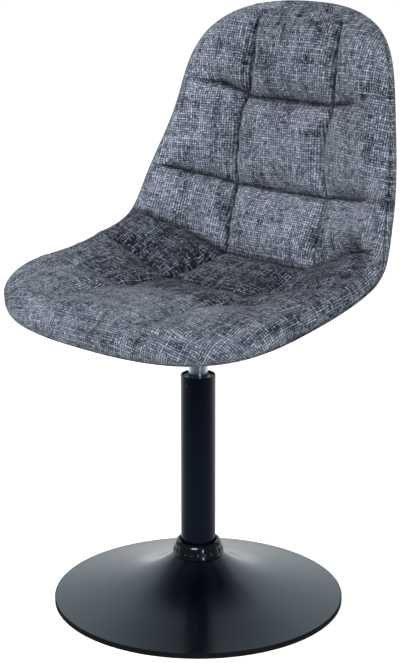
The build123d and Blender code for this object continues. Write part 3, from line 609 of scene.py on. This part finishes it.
tufting = {
    "columnSeam": 0.083,
    "rows": [0.151, 0.243, 0.360, 0.463, 0.592],
    "crease": 2,                 # which row is the crease
    "step": 0.0052,
    "besideSeam": [0.0016, 0.0042, 0.0078],
    "crown": 0.0085,
    "crownReach": 0.046,
    "dip": 0.0062,
    "dipReach": 0.0150,
    "creaseDip": 0.0070,
    "creaseReach": 0.026,
    "rowDepth": [0.22, 0.75, 1.0, 1.0, 1.0],
    "middleDepth": [0.5, 0.45, 1.0, 1.0, 1.0],       # what is left of that between the column seams
    "middleEdge": 0.8,           # of the way to the column seam, from where the full depth comes back
    # parts of the half width between which each row fades out
    "fadeLeft": [(0.5, 0.9), (0.94, 1.06), (0.92, 1.06), (0.98, 1.08), (0.80, 0.98)],
    "fadeRight": [(0.5, 0.9), (0.80, 1.0), (0.96, 1.10), (0.72, 1.04), (0.56, 0.92)],
    "columnFade": (0.015, 0.10),         # s between which the column seams reach their depth
    "columnLeast": 0.2,          # share of it at the front edge
    # where the stitching strays from straight: s, and how far the left and the right
    # column seam move in x
    "columnStray": [(0.0, 0.0, 0.0), (0.05, -0.014, 0.002), (0.10, -0.019, -0.005),
                    (0.15, 0.002, 0.008), (0.19, -0.004, 0.010), (0.25, -0.007, 0.004),
                    (0.31, -0.005, -0.002), (0.36, 0.004, 0.008), (0.41, -0.007, 0.001),
                    (0.463, -0.007, -0.001), (0.51, -0.011, -0.012), (0.55, -0.009, -0.008),
                    (0.60, 0.006, 0.002), (0.66, 0.008, -0.001), (0.70, 0.004, -0.002),
                    (0.7318, 0.0, 0.0)],
    # how far each row moves up, at these parts of the half width
    "strayPlaces": [-1.0, -0.72, -0.38, 0.0, 0.38, 0.5, 0.72, 1.0],
    "rowStray": [(0.0, 0.004, 0.0, 0.0, 0.0, 0.002, 0.004, 0.0),
                 (0.010, 0.016, 0.002, 0.000, 0.002, 0.006, 0.016, 0.010),
                 (0.006, 0.011, -0.002, 0.000, -0.004, 0.011, 0.027, 0.020),
                 (0.013, 0.006, -0.001, -0.002, -0.002, 0.001, 0.005, 0.014),
                 (0.017, 0.017, 0.000, 0.001, 0.000, 0.003, 0.009, 0.010)],
    "groove": 0.0028,
    "grooveReach": 0.0036,
    "shadeReach": 0.0058,        # how far from a seam the cloth is shaded
    "shadeLeast": 0.6,           # share of the shade at the outline
    "padPower": 2.3,             # roundness of the padding beside a seam
    "groovePower": 1.2,
    "shadePower": 1.4,
    "outlineReach": 0.034,       # how far in from the outline the crown is whole
    "shallowReach": 0.014,       # and the seams are
    "shallowLeast": 0.3,         # share of their depth at the outline
    "farthestSeam": 0.68,        # part of the half width that a column seam doesn't leave
    "netWidth": 0.233,           # half width that the net is spaced on before it is fitted
    "endSpan": 0.15,             # length drawn to the corners at each end of a net without rows
    "cornerReach": 0.12,         # longest rounding of a corner that the net follows
    "cornerSteps": 3000,
}


def placesBetween(a, b, step, besideA, besideB):
    start = [a] + [a + d for d in besideA]
    stop = [b - d for d in reversed(besideB)] + [b]
    count = max(1, round((stop[0] - start[-1]) / step))
    inner = list(np.linspace(start[-1], stop[0], count + 1)[1:-1]) if count > 1 else []
    return start + inner + stop


def netPlaces(edges, step, beside, seams):
    places = []
    for a, b in zip(edges, edges[1:]):
        run = placesBetween(a, b, step, beside if a in seams else [], beside if b in seams else [])
        places += run if not places else run[1:]
    return np.array(places)


def makeNet(rows, seam, step, beside):
    # x and s of every crossing of the net, whose columns and rows lie along the seams
    t = netPlaces([0.0] + list(rows) + [shellLength], step, beside, rows)
    width = tufting["netWidth"]
    seams = [seam] if seam else []
    side = netPlaces([0.0] + seams + [width], step, beside, seams)
    frontPlace, topPlace = shellShape["frontCornerPlace"], shellShape["topCornerPlace"]
    frontSpan = rows[0] if rows else tufting["endSpan"]
    topSpan = shellLength - (rows[-1] if rows else shellLength - tufting["endSpan"])
    frontPull = np.clip(1 - t / frontSpan, 0, 1)
    topPull = np.clip(1 - (shellLength - t) / topSpan, 0, 1)
    edgeS = t + frontPull * frontPlace - topPull * topPlace
    edgeX = halfWidth(edgeS)
    reach = tufting["cornerReach"]
    table = np.linspace(0, reach, tufting["cornerSteps"]) ** 2 / reach
    frontX, topX = halfWidth(table), halfWidth(shellLength - table)

    def spread(edge):
        inside = side[None, :] <= seam
        seamX = np.minimum(seam, tufting["farthestSeam"] * edge) if seam else 0 * edge
        share = np.where(inside, side[None, :] / max(seam, 1e-9), 0)
        past = np.clip((side[None, :] - seam) / (width - seam), 0, 1)
        outer = seamX[:, None] + past * (edge - seamX)[:, None]
        return np.where(inside, share * seamX[:, None], outer)

    x = spread(edgeX)
    frontRow = np.interp(spread(edgeX[:1])[0], frontX, table)
    topRow = np.interp(spread(edgeX[-1:])[0], topX, table)
    s = t[:, None] + frontPull[:, None] * frontRow[None, :] - topPull[:, None] * topRow[None, :]
    x = np.concatenate([-x[:, :0:-1], x], axis=1)
    s = np.concatenate([s[:, :0:-1], s], axis=1)
    return x, s, t


def safeHalfWidth(s, margin=0.0005):
    return halfWidth(np.clip(s, margin, shellLength - margin))


def seamPlace(edge):
    return np.minimum(tufting["columnSeam"], tufting["farthestSeam"] * edge)


def strayNet(x, s, t):
    # the same net after its seams are moved to where the stitching really runs
    part = x / safeHalfWidth(s)
    rows = [0.0] + list(tufting["rows"]) + [shellLength]
    places = tufting["strayPlaces"]
    strays = np.array([[np.interp(line, places, stray) for stray in tufting["rowStray"]]
                       for line in part])
    strays = np.concatenate([0 * strays[:, :1], strays, 0 * strays[:, :1]], axis=1)
    moved = np.array([[np.interp(place, rows, strays[i, :, c]) for c in range(x.shape[1])]
                      for i, place in enumerate(t)])
    newS = s + moved
    edge = safeHalfWidth(newS)
    x = x * edge / safeHalfWidth(s)
    seamX = seamPlace(edge)
    stray = np.array(tufting["columnStray"])
    left = smoothRun(t, stray[:, 0], stray[:, 1])[:, None]
    right = smoothRun(t, stray[:, 0], stray[:, 2])[:, None]
    between = np.clip((x + seamX) / (2 * seamX), 0, 1)
    outside = np.clip((edge - np.abs(x)) / np.maximum(edge - seamX, 1e-6), 0, 1)
    return x + (left * (1 - between) + right * between) * outside, newS


def smoothRun(t, places, values):
    # a smooth line through the places
    slopes = np.gradient(values, places)
    i = np.clip(np.searchsorted(places, t, side="right") - 1, 0, len(places) - 2)
    h = places[i + 1] - places[i]
    w = np.clip((t - places[i]) / h, 0, 1)
    return (values[i] * (1 + 2 * w) * (1 - w) ** 2 + values[i + 1] * w * w * (3 - 2 * w)
            + h * (slopes[i] * w * (1 - w) ** 2 - slopes[i + 1] * w * w * (1 - w)))


def outlineLoop(rowCount, columnCount):
    loop = [(0, c) for c in range(columnCount)]
    loop += [(r, columnCount - 1) for r in range(1, rowCount)]
    loop += [(rowCount - 1, c) for c in range(columnCount - 2, -1, -1)]
    loop += [(r, 0) for r in range(rowCount - 2, 0, -1)]
    return np.array(loop)


def outwardAt(points, normals):
    # direction out of the outline, in the surface, evened along it
    along = np.roll(points, -1, axis=0) - np.roll(points, 1, axis=0)
    along /= np.linalg.norm(along, axis=1)[:, None]
    out = np.cross(along, normals)
    for _ in range(3):
        out = (np.roll(out, 1, axis=0) + 2 * out + np.roll(out, -1, axis=0)) / 4
    out -= normals * (out * normals).sum(1)[:, None]
    return out / np.linalg.norm(out, axis=1)[:, None]


def rowShares(x, s):
    # how strong each row's stitching is at every point
    edge = safeHalfWidth(s)
    part = x / edge
    inside = 1 - smoothStep(tufting["middleEdge"], 1.0, np.abs(part) / (seamPlace(edge) / edge))
    tables = [tufting[key] for key in ("rowDepth", "middleDepth", "fadeLeft", "fadeRight")]
    shares = []
    for depth, middle, left, right in zip(*tables):
        fade = np.where(part < 0, 1 - smoothStep(*left, -part), 1 - smoothStep(*right, part))
        shares.append(depth * fade * (1 - inside * (1 - middle)))
    return shares


def tuftHeight(x, s):
    # how far the padding stands out from the plain surface, and how near a seam is
    edge = safeHalfWidth(s, 0.002)
    toColumn = np.abs(np.abs(x) - seamPlace(edge))
    rows = tufting["rows"]
    shares = rowShares(x, s)

    def atLeast(least, share):
        return share * (1 - least) + least

    def full(distance, reach, power=tufting["padPower"]):
        return 1 - (1 - np.clip(distance / reach, 0, 1)) ** power

    columnShare = atLeast(tufting["columnLeast"], smoothStep(*tufting["columnFade"], s))

    def valley(reach, power=tufting["padPower"]):
        deepest = columnShare * (1 - full(toColumn, reach, power))
        for row, share in zip(rows, shares):
            deepest = np.maximum(deepest, share * (1 - full(np.abs(s - row), reach, power)))
        return deepest

    toOutline = np.minimum(np.minimum(edge - np.abs(x), s), shellLength - s)
    reach = tufting["crownReach"]
    crown = 1 - columnShare * (1 - full(toColumn, reach))
    for row, share in zip(rows, shares):
        crown = np.minimum(crown, crown * (1 - share * (1 - full(np.abs(s - row), reach))))
    crown *= full(toOutline, tufting["outlineReach"])
    shallow = atLeast(tufting["shallowLeast"], full(toOutline, tufting["shallowReach"]))
    toCrease = np.abs(s - rows[tufting["crease"]])
    crease = shares[tufting["crease"]] * (1 - full(toCrease, tufting["creaseReach"]))
    groove = tufting["groove"] * valley(tufting["grooveReach"], tufting["groovePower"])
    height = tufting["crown"] * crown - tufting["creaseDip"] * crease
    height -= shallow * (tufting["dip"] * valley(tufting["dipReach"]) + groove)
    shade = valley(tufting["shadeReach"], tufting["shadePower"])
    return height, shade * atLeast(tufting["shadeLeast"], shallow)


# how light the cover is painted, by s: on the seat's hollow the pile is brushed down, and the colour
# is darkened there as painted shade; shades above 1 are painted light

pileAndShadeLook = {
    "middle": [(0.0, 1.03), (0.05, 1.02), (0.12, 0.96), (0.148, 0.86), (0.160, 0.64),
               (0.24, 0.59), (0.352, 0.56), (0.366, 1.16), (0.44, 1.13), (0.52, 1.04),
               (0.62, 0.99), (0.7318, 0.91)],
    "leftEdge": [(0.0, 1.14), (0.10, 1.10), (0.20, 0.88), (0.352, 0.76), (0.366, 1.20),
                 (0.55, 1.27), (0.7318, 1.05)],
    "rightEdge": [(0.0, 1.0), (0.10, 0.92), (0.25, 0.80), (0.352, 0.74), (0.366, 1.0),
                  (0.55, 1.0), (0.7318, 0.96)],
    "edge": (0.55, 0.95),        # parts of the half width between which the edge takes over
    "plain": 0.95,               # on the rear skin, and on the rim where the covers meet
}


def pileAndPaintedShade(x, s):
    part = x / safeHalfWidth(s)

    def along(name):
        table = np.array(pileAndShadeLook[name])
        return np.interp(s, table[:, 0], table[:, 1])

    left = smoothStep(*pileAndShadeLook["edge"], -part)
    right = smoothStep(*pileAndShadeLook["edge"], part)
    shade = along("middle") * (1 - left - right)
    return shade + along("leftEdge") * left + along("rightEdge") * right


def netFaces(rowCount, columnCount, flip=False):
    faces = []
    for r in range(rowCount - 1):
        for c in range(columnCount - 1):
            a = r * columnCount + c
            quad = (a, a + 1, a + columnCount + 1, a + columnCount)
            faces.append(quad[::-1] if flip else quad)
    return faces


def bandFaces(inner, outer, flip=False):
    faces = []
    for k in range(len(inner)):
        j = (k + 1) % len(inner)
        quad = (inner[k], outer[k], outer[j], inner[j])
        faces.append(quad[::-1] if flip else quad)
    return faces


def makePiece(name, points, faces, weave, seamShade, pileAndShade):
    mesh = bpy.data.meshes.new(name)
    mesh.from_pydata([tuple(p) for p in points], [], faces)
    layer = mesh.uv_layers.new(name="weave")
    loops = np.zeros(len(mesh.loops), int)
    mesh.loops.foreach_get("vertex_index", loops)
    layer.data.foreach_set("uv", weave[loops].astype(np.float32).ravel())
    # the pile shade, which carries painted shade and painted light, is kept on the points
    for shadeName, values in (("seamShade", seamShade), ("pileAndPaintedShade", pileAndShade)):
        shade = mesh.attributes.new(shadeName, "FLOAT", "POINT")
        shade.data.foreach_set("value", values.astype(np.float32))
    mesh.validate()
    piece = bpy.data.objects.new(name, mesh)
    bpy.context.scene.collection.objects.link(piece)
    for polygon in mesh.polygons:
        polygon.use_smooth = True
    return piece


def applyModifier(piece, modifier):
    bpy.ops.object.select_all(action="DESELECT")
    piece.select_set(True)
    bpy.context.view_layer.objects.active = piece
    bpy.ops.object.modifier_apply(modifier=modifier.name)


def subdivide(piece, levels=1):
    modifier = piece.modifiers.new("smooth", "SUBSURF")
    modifier.levels = modifier.render_levels = levels
    modifier.uv_smooth = "PRESERVE_BOUNDARIES"
    applyModifier(piece, modifier)


# the rim, round which both covers run to the seam where they meet

rimLook = {
    "steps": 9,
    "seamTurn": (150.0, 92.0),   # degrees round the rim at which they meet, on seat and back
    "seamTurnSpan": (0.26, 0.46),        # s between which that changes
    "weaveShare": 1.1,           # length of the weave round the rim, over the half circle's
    "tuck": 0.0009,              # how deep the seam is drawn in
    "tuckReach": 0.005,
    "seamShade": 0.22,
    "shadeReach": 0.004,
}


def coverParts(x, s, front, plainX=None, plainS=None):
    # points, faces, weave places and shades of one cover: its face, its rim and its inside
    rowCount, columnCount = x.shape
    loop = outlineLoop(rowCount, columnCount)
    flat = loop[:, 0] * columnCount + loop[:, 1]
    base = surfaceAt(x, s).reshape(-1, 3)
    normal = normalAt(x, np.clip(s, 0.001, shellLength - 0.001)).reshape(-1, 3)
    depth = thicknessAt(s).reshape(-1)
    weave = np.stack([x.ravel(), s.ravel()], -1)
    rim = shellShape["rimBulge"] * depth[flat] / 2
    out = outwardAt(base[flat], normal[flat])
    flatAlong = np.roll(weave[flat], -1, axis=0) - np.roll(weave[flat], 1, axis=0)
    flatOut = np.stack([flatAlong[:, 1], -flatAlong[:, 0]], -1)
    flatOut /= np.linalg.norm(flatOut, axis=1)[:, None]
    seamA, seamB = np.radians(rimLook["seamTurn"])
    meetShare = smoothStep(*rimLook["seamTurnSpan"], s.reshape(-1)[flat])
    meet = seamA + (seamB - seamA) * meetShare
    if front:
        height, seamShade = (part.reshape(-1) for part in tuftHeight(plainX, plainS))
        # the face's pile shade carries painted shade and painted light
        pileAndShade = pileAndPaintedShade(plainX, plainS).reshape(-1)
        face = base + normal * height[:, None]
    else:
        face = base - normal * depth[:, None]
        seamShade = np.zeros(len(base))
        pileAndShade = np.full(len(base), pileAndShadeLook["plain"])
    points, weaves, shades, pileAndShades, rings = [face], [weave], [seamShade], [pileAndShade], [flat]
    count = len(face)
    for k in range(1, rimLook["steps"] + 1):
        share = k / rimLook["steps"]
        turn = meet * share if front else math.pi - (math.pi - meet) * share
        past = (turn if front else math.pi - turn) * rim * rimLook["weaveShare"]
        fromSeam = np.abs(meet - turn) * rim
        tuck = rimLook["tuck"] * np.clip(1 - fromSeam / rimLook["tuckReach"], 0, 1) ** 2
        sideways = (rim - tuck) * np.sin(turn)
        down = depth[flat] / 2 * (1 - np.cos(turn)) + tuck * np.cos(turn)
        points.append(base[flat] + out * sideways[:, None] - normal[flat] * down[:, None])
        weaves.append(weave[flat] + flatOut * past[:, None])
        atSeam = rimLook["seamShade"] * np.clip(1 - fromSeam / rimLook["shadeReach"], 0, 1)
        shades.append(np.maximum(atSeam, seamShade[flat] * (1 - share) ** 2))
        pileAndShades.append(pileAndShade[flat] * (1 - share) + pileAndShadeLook["plain"] * share)
        rings.append(np.arange(count, count + len(flat)))
        count += len(flat)
    points.append(base - normal * (depth / 2)[:, None])
    weaves.append(weave)
    shades.append(np.zeros(len(base)))
    pileAndShades.append(pileAndShade)
    faces = netFaces(rowCount, columnCount, not front)
    for a, b in zip(rings, rings[1:]):
        faces += bandFaces(a, b, not front)
    faces += bandFaces(rings[-1], flat + count, not front)
    faces += [tuple(i + count for i in f) for f in netFaces(rowCount, columnCount, front)]
    return [np.concatenate(points), faces] + [np.concatenate(v) for v in (weaves, shades, pileAndShades)]


# the cover is let settle as cloth over its padding, held along its seams

settling = {
    "pressure": 4.0,
    "growth": 0.035,             # how much larger the cloth is cut than the padding
    "frames": 20,
    "quality": 5,
    "mass": 0.3,
    "tension": 15.0,
    "shear": 5.0,
    "bending": 0.6,
    "limit": 0.006,              # farthest that a point may move
    "pinReach": 0.0010,          # how near a seam the cloth is held
    "pinShare": 0.12,            # and how strong a row's stitching must be to hold it
    "freeRings": 3,              # rings of the rim that move with the face
}


def pointPlaces(piece):
    places = np.zeros(3 * len(piece.data.vertices))
    piece.data.vertices.foreach_get("co", places)
    return places.reshape(-1, 3)


def settleCover(cover, held):
    start = pointPlaces(cover)
    group = cover.vertex_groups.new(name="held")
    group.add([int(i) for i in np.nonzero(held)[0]], 1.0, "REPLACE")
    modifier = cover.modifiers.new("settle", "CLOTH")
    cloth = modifier.settings
    cloth.vertex_group_mass = "held"
    cloth.quality = settling["quality"]
    cloth.mass = settling["mass"]
    cloth.use_pressure = True
    cloth.uniform_pressure_force = settling["pressure"]
    cloth.shrink_min = cloth.shrink_max = -settling["growth"]
    cloth.tension_stiffness = cloth.compression_stiffness = settling["tension"]
    cloth.shear_stiffness = settling["shear"]
    cloth.bending_stiffness = settling["bending"]
    cloth.effector_weights.gravity = 0
    modifier.collision_settings.use_collision = False
    modifier.collision_settings.use_self_collision = False
    modifier.point_cache.frame_start = 1
    modifier.point_cache.frame_end = settling["frames"]
    scene = bpy.context.scene
    for number in range(1, settling["frames"] + 1):
        scene.frame_set(number)
    applyModifier(cover, modifier)
    scene.frame_set(1)
    moved = pointPlaces(cover) - start
    size = np.linalg.norm(moved, axis=1)
    limit = settling["limit"]
    moved *= (limit * np.tanh(size / limit) / np.maximum(size, 1e-9))[:, None]
    cover.data.vertices.foreach_set("co", (start + moved).ravel())
    cover.data.update()
    cover.vertex_groups.clear()
    print("cover settled, most it moved:", round(float(size.max()) * 1000, 2), "mm, mean:",
          round(float(size.mean()) * 1000, 2), "mm")


def heldPoints(total, x, s):
    # the cover's seams, the rim past its free rings and the inside are held
    held = np.ones(total, bool)
    pinned = np.abs(np.abs(x) - seamPlace(safeHalfWidth(s))) < settling["pinReach"]
    for row, share in zip(tufting["rows"], rowShares(x, s)):
        pinned |= (np.abs(s - row) < settling["pinReach"]) & (share > settling["pinShare"])
    held[:x.size] = pinned.ravel()
    ring = 2 * x.shape[0] + 2 * x.shape[1] - 4
    held[x.size:x.size + settling["freeRings"] * ring] = False
    return held


def makeFrontCover():
    plainX, plainS, t = makeNet(tufting["rows"], tufting["columnSeam"], tufting["step"],
                                tufting["besideSeam"])
    x, s = strayNet(plainX, plainS, t)
    parts = coverParts(x, s, True, plainX, plainS)
    cover = makePiece("tuftedCover", *parts)
    settleCover(cover, heldPoints(len(parts[0]), plainX, plainS))
    subdivide(cover)
    setFinish(cover, "front_fabric")
    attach(cover, "seat")
    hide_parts("seat_pad", "back_pad")


rearStep = 0.011                 # spacing of the rear skin's net


def makeRearSkin():
    x, s, _ = makeNet([], 0.0, rearStep, [])
    skin = makePiece("rearSkin", *coverParts(x, s, False))
    subdivide(skin)
    setFinish(skin, "rear_fabric")
    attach(skin, "seat")
    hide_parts("rear_cover")


makeFrontCover()
makeRearSkin()
print("covers made")

# floor, world and lamps

studio = {
    "floorColour": (0.84, 0.84, 0.84),
    "floorSize": 90,
    "floorDrop": 0.0005,
    "floorRoughness": 0.9,
    "floorMirror": 0.1,
    "floorGlow": 0.66,           # added for the camera and for reflections only
    "ambient": 0.44,
    "mirrorTint": (0.86, 0.955, 1.0),
    # towards the white wall behind the chair; the rest of the studio is dim
    "wallAim": (-0.666, 0.746, 0.0),
    "wallEdge": (0.50, 0.80),    # cosine of the angle from there at which the wall ends
    # height of the ray, 1 being straight up, between which the wall's top darkens
    "aboveWall": (0.62, 0.84),
    "aboveDim": (0.77, 0.90),    # and the rest of the studio
    "dim": 0.31,
    # metres towards the wall, and the share of the floor's light that is mirrored there
    "floorMirrored": [(-1.3, 0.02), (0.0, 0.42), (0.6, 1.0)],
}

lamps = {
    "target": (0, 0, 0.5),
    "keyLamp": {"place": (1.2, -2.9, 2.8), "size": 1.7, "power": 145.0, "mirrored": True},
    "fillLamp": {"place": (-1.6, -2.2, 2.6), "size": 2.0, "power": 15.0, "mirrored": False},
    "sideLamp": {"place": (3.0, 0.9, 1.1), "size": 1.2, "power": 32.0, "mirrored": False},
    # a tall narrow panel that lights nothing and is only mirrored, as the bright line on
    # the lift's cylinder
    "stripLamp": {"place": (2.76, -1.17, 1.2), "size": 0.25, "power": 30.0, "mirrored": True,
                  "tall": 1.5},
}


def addLamp(name):
    look = lamps[name]
    data = bpy.data.lights.new(name, "AREA")
    data.size = look["size"]
    data.energy = look["power"]
    if "tall" in look:
        data.shape = "RECTANGLE"
        data.size_y = look["tall"]
    lamp = bpy.data.objects.new(name, data)
    lamp.location = look["place"]
    aim = Vector(lamps["target"]) - Vector(look["place"])
    lamp.rotation_euler = aim.to_track_quat("-Z", "Y").to_euler()
    lamp.visible_glossy = look["mirrored"]
    lamp.visible_diffuse = "tall" not in look
    bpy.context.scene.collection.objects.link(lamp)


def towardsWall(tree, direction):
    return vectorNode(tree, "DOT_PRODUCT", direction, studio["wallAim"]).outputs["Value"]


def makeFloor():
    bpy.ops.object.select_all(action="DESELECT")
    bpy.ops.mesh.primitive_plane_add(size=studio["floorSize"], location=(0, 0, -studio["floorDrop"]))
    floor = bpy.context.object
    floor.name = "studioFloor"
    material, tree, shader = newMaterial("paleFloor")
    setInputs(shader, {"Roughness": studio["floorRoughness"], "Emission Color": (1, 1, 1, 1),
                       "Specular IOR Level": studio["floorMirror"]})
    # in reflections the floor is white under the wall and falls off towards the dim side
    towards = towardsWall(tree, objectPlace(tree))
    (near, least), (under, middle), (wall, most) = studio["floorMirrored"]
    share = plus(tree, spanOn(tree, towards, near, under, least, middle),
                 spanOn(tree, towards, under, wall, 0.0, most - middle))
    rays = addNode(tree, "ShaderNodeLightPath").outputs
    share = minus(tree, 1.0, times(tree, rays["Is Glossy Ray"], minus(tree, 1.0, share)))
    link(tree, scaled(tree, studio["floorColour"], share), shader.inputs["Base Color"])
    # it glows only where it is seen, straight or mirrored or through something
    seen = larger(tree, rays["Is Camera Ray"], rays["Is Glossy Ray"])
    seen = larger(tree, seen, rays["Is Transmission Ray"])
    glow = times(tree, seen, studio["floorGlow"])
    link(tree, times(tree, glow, share), shader.inputs["Emission Strength"])
    floor.data.materials.append(material)


def makeWorld():
    # rays that see the world find it white; mirrored ones find the white wall, the dim
    # studio and a dark ceiling
    world = bpy.data.worlds.new("studioWorld")
    bpy.context.scene.world = world
    world.use_nodes = True
    tree = world.node_tree
    background = tree.nodes["Background"]
    rays = addNode(tree, "ShaderNodeLightPath").outputs
    direction = addNode(tree, "ShaderNodeTexCoord").outputs["Generated"]
    split = addNode(tree, "ShaderNodeSeparateXYZ")
    link(tree, direction, split.inputs[0])
    height = split.outputs["Z"]
    aboveWall = spanOn(tree, height, *studio["aboveWall"], 1.0, 0.0)
    aboveDim = spanOn(tree, height, *studio["aboveDim"], studio["dim"], 0.0)
    level = mathNode(tree, "SQRT", minus(tree, 1.0, times(tree, height, height)))
    facing = divided(tree, towardsWall(tree, direction), level)
    wallShare = spanOn(tree, facing, *studio["wallEdge"], 0.0, 1.0)
    mirrored = larger(tree, times(tree, aboveWall, wallShare), aboveDim)
    mirrored = times(tree, rays["Is Glossy Ray"], mirrored)
    shown = larger(tree, rays["Is Camera Ray"], rays["Is Transmission Ray"])
    plain = times(tree, minus(tree, 1.0, rays["Is Glossy Ray"]), studio["ambient"])
    strength = larger(tree, larger(tree, plain, shown), mirrored)
    link(tree, strength, background.inputs["Strength"])
    tint = addNode(tree, "ShaderNodeMix", data_type="RGBA")
    link(tree, rays["Is Glossy Ray"], tint.inputs["Factor"])
    straight, glossy = tint.inputs[6], tint.inputs[7]
    straight.default_value = (1, 1, 1, 1)
    glossy.default_value = (*studio["mirrorTint"], 1)
    link(tree, tint.outputs[2], background.inputs["Color"])


makeFloor()
makeWorld()
for lampName in ("keyLamp", "fillLamp", "sideLamp", "stripLamp"):
    addLamp(lampName)
bpy.context.scene.view_settings.view_transform = "Standard"
print("stage set")

print("done")
